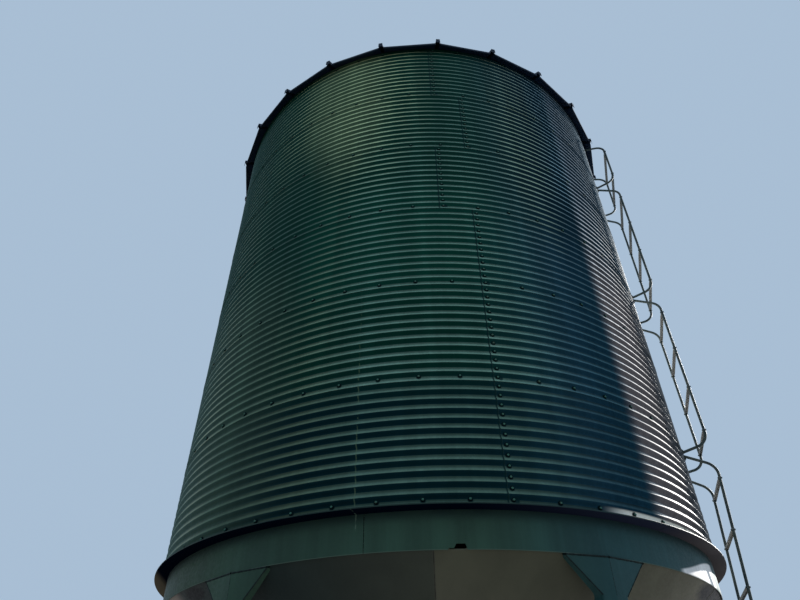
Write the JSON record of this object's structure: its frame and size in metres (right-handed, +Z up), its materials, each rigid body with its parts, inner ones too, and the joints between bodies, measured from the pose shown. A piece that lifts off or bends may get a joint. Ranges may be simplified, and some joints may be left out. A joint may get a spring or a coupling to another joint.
{
  "type": "hopper-bottom grain silo",
  "caption": "Round corrugated steel grain silo with a ribbed cone roof, a discharge cone on flared legs, a slide gate and a climbing ladder.",
  "frame": {"origin": "on the ground, on the tank's upright axis", "axes": "+Z up along the tank's axis, +X out through the first leg"},
  "size_m": [4.4088, 4.4088, 8.4974],
  "materials": {
    "galvanised_wall": "galvanised corrugated sheet, weathered",
    "hopper_paint": "satin paint, pale green-grey, dusty",
    "cone_paint": "satin paint, off-white",
    "roof_steel": "galvanised sheet",
    "ladder_steel": "galvanised tube and strip"
  },
  "bodies": {
    "root": {"hopper_ring": "hopper_paint", "hopper_skirt": "hopper_paint", "hopper_cone": "cone_paint", "outlet_collar": "hopper_paint", "slide_gate_frame": "hopper_paint", "slide_gate_plate": "galvanised_wall", "leg_1": "hopper_paint", "leg_2": "hopper_paint", "leg_3": "hopper_paint", "leg_4": "hopper_paint", "leg_5": "hopper_paint", "leg_6": "hopper_paint", "wall_sheet_tier1_1": "galvanised_wall", "wall_sheet_tier1_2": "galvanised_wall", "wall_sheet_tier1_3": "galvanised_wall", "wall_sheet_tier1_4": "galvanised_wall", "wall_sheet_tier2_1": "galvanised_wall", "wall_sheet_tier2_2": "galvanised_wall", "wall_sheet_tier2_3": "galvanised_wall", "wall_sheet_tier2_4": "galvanised_wall", "wall_sheet_tier3_1": "galvanised_wall", "wall_sheet_tier3_2": "galvanised_wall", "wall_sheet_tier3_3": "galvanised_wall", "wall_sheet_tier3_4": "galvanised_wall", "wall_sheet_tier4_1": "galvanised_wall", "wall_sheet_tier4_2": "galvanised_wall", "wall_sheet_tier4_3": "galvanised_wall", "wall_sheet_tier4_4": "galvanised_wall", "wall_sheet_tier5_1": "galvanised_wall", "wall_sheet_tier5_2": "galvanised_wall", "wall_sheet_tier5_3": "galvanised_wall", "wall_sheet_tier5_4": "galvanised_wall", "wall_sheet_tier6_1": "galvanised_wall", "wall_sheet_tier6_2": "galvanised_wall", "wall_sheet_tier6_3": "galvanised_wall", "wall_sheet_tier6_4": "galvanised_wall", "eave_ring": "galvanised_wall", "roof_quarter_1": "roof_steel", "roof_quarter_2": "roof_steel", "roof_quarter_3": "roof_steel", "roof_quarter_4": "roof_steel", "fill_collar": "roof_steel", "fill_lid": "roof_steel", "ladder_section_1": "ladder_steel", "ladder_section_2": "ladder_steel", "ladder_section_3": "ladder_steel", "ladder_section_4": "ladder_steel"}
  },
  "joints": []
}
